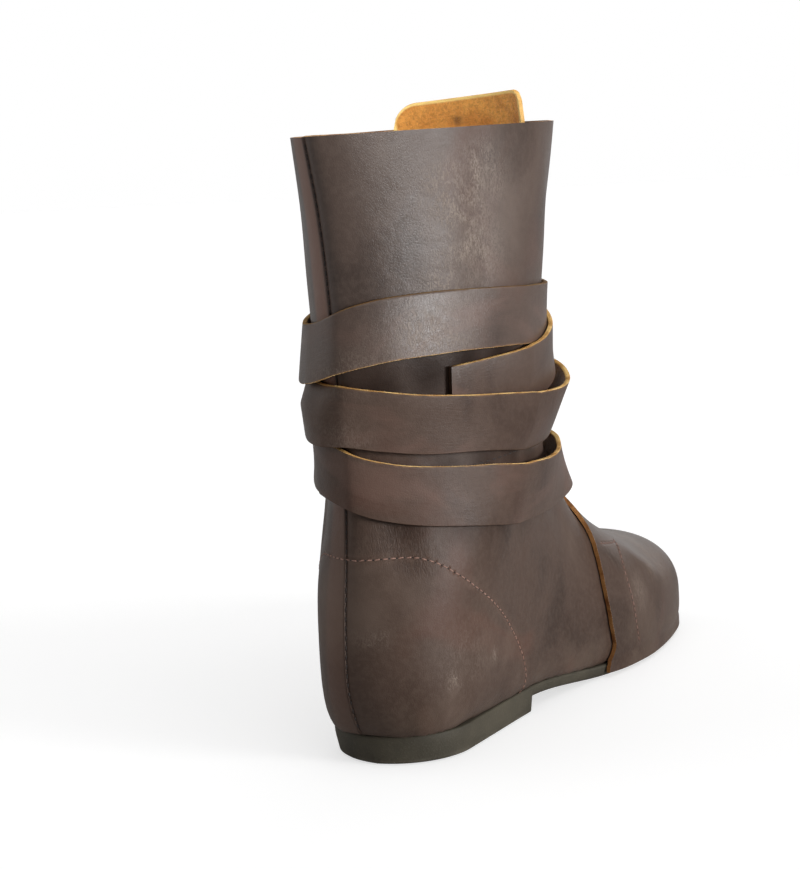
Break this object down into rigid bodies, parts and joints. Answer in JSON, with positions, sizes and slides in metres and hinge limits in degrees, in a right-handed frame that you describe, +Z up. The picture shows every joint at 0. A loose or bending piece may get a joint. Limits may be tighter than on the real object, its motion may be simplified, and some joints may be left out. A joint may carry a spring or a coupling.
{
  "type": "boot",
  "caption": "Calf-high viking boot of oiled brown leather, hollow inside, with a toe vamp, back seam, front tongue, flat unit sole and a long strap wound round the ankle.",
  "frame": {"origin": "centre of the boot's bounding box in plan, on the floor it stands on", "axes": "+Z up; the toe points along -Y; the outer side of the right foot is at -X"},
  "size_m": [0.1078, 0.3088, 0.281],
  "materials": {
    "boot_leather": "oiled, waxy",
    "strap_leather": "oiled, waxy, raw edges",
    "flesh_leather": "suede",
    "insole_leather": "matte",
    "sole_rubber": "matte"
  },
  "bodies": {
    "root": {"sole": "sole_rubber", "insole": "insole_leather", "upper": "boot_leather", "vamp": "boot_leather", "tongue": "flesh_leather", "strap": "strap_leather"}
  },
  "joints": []
}
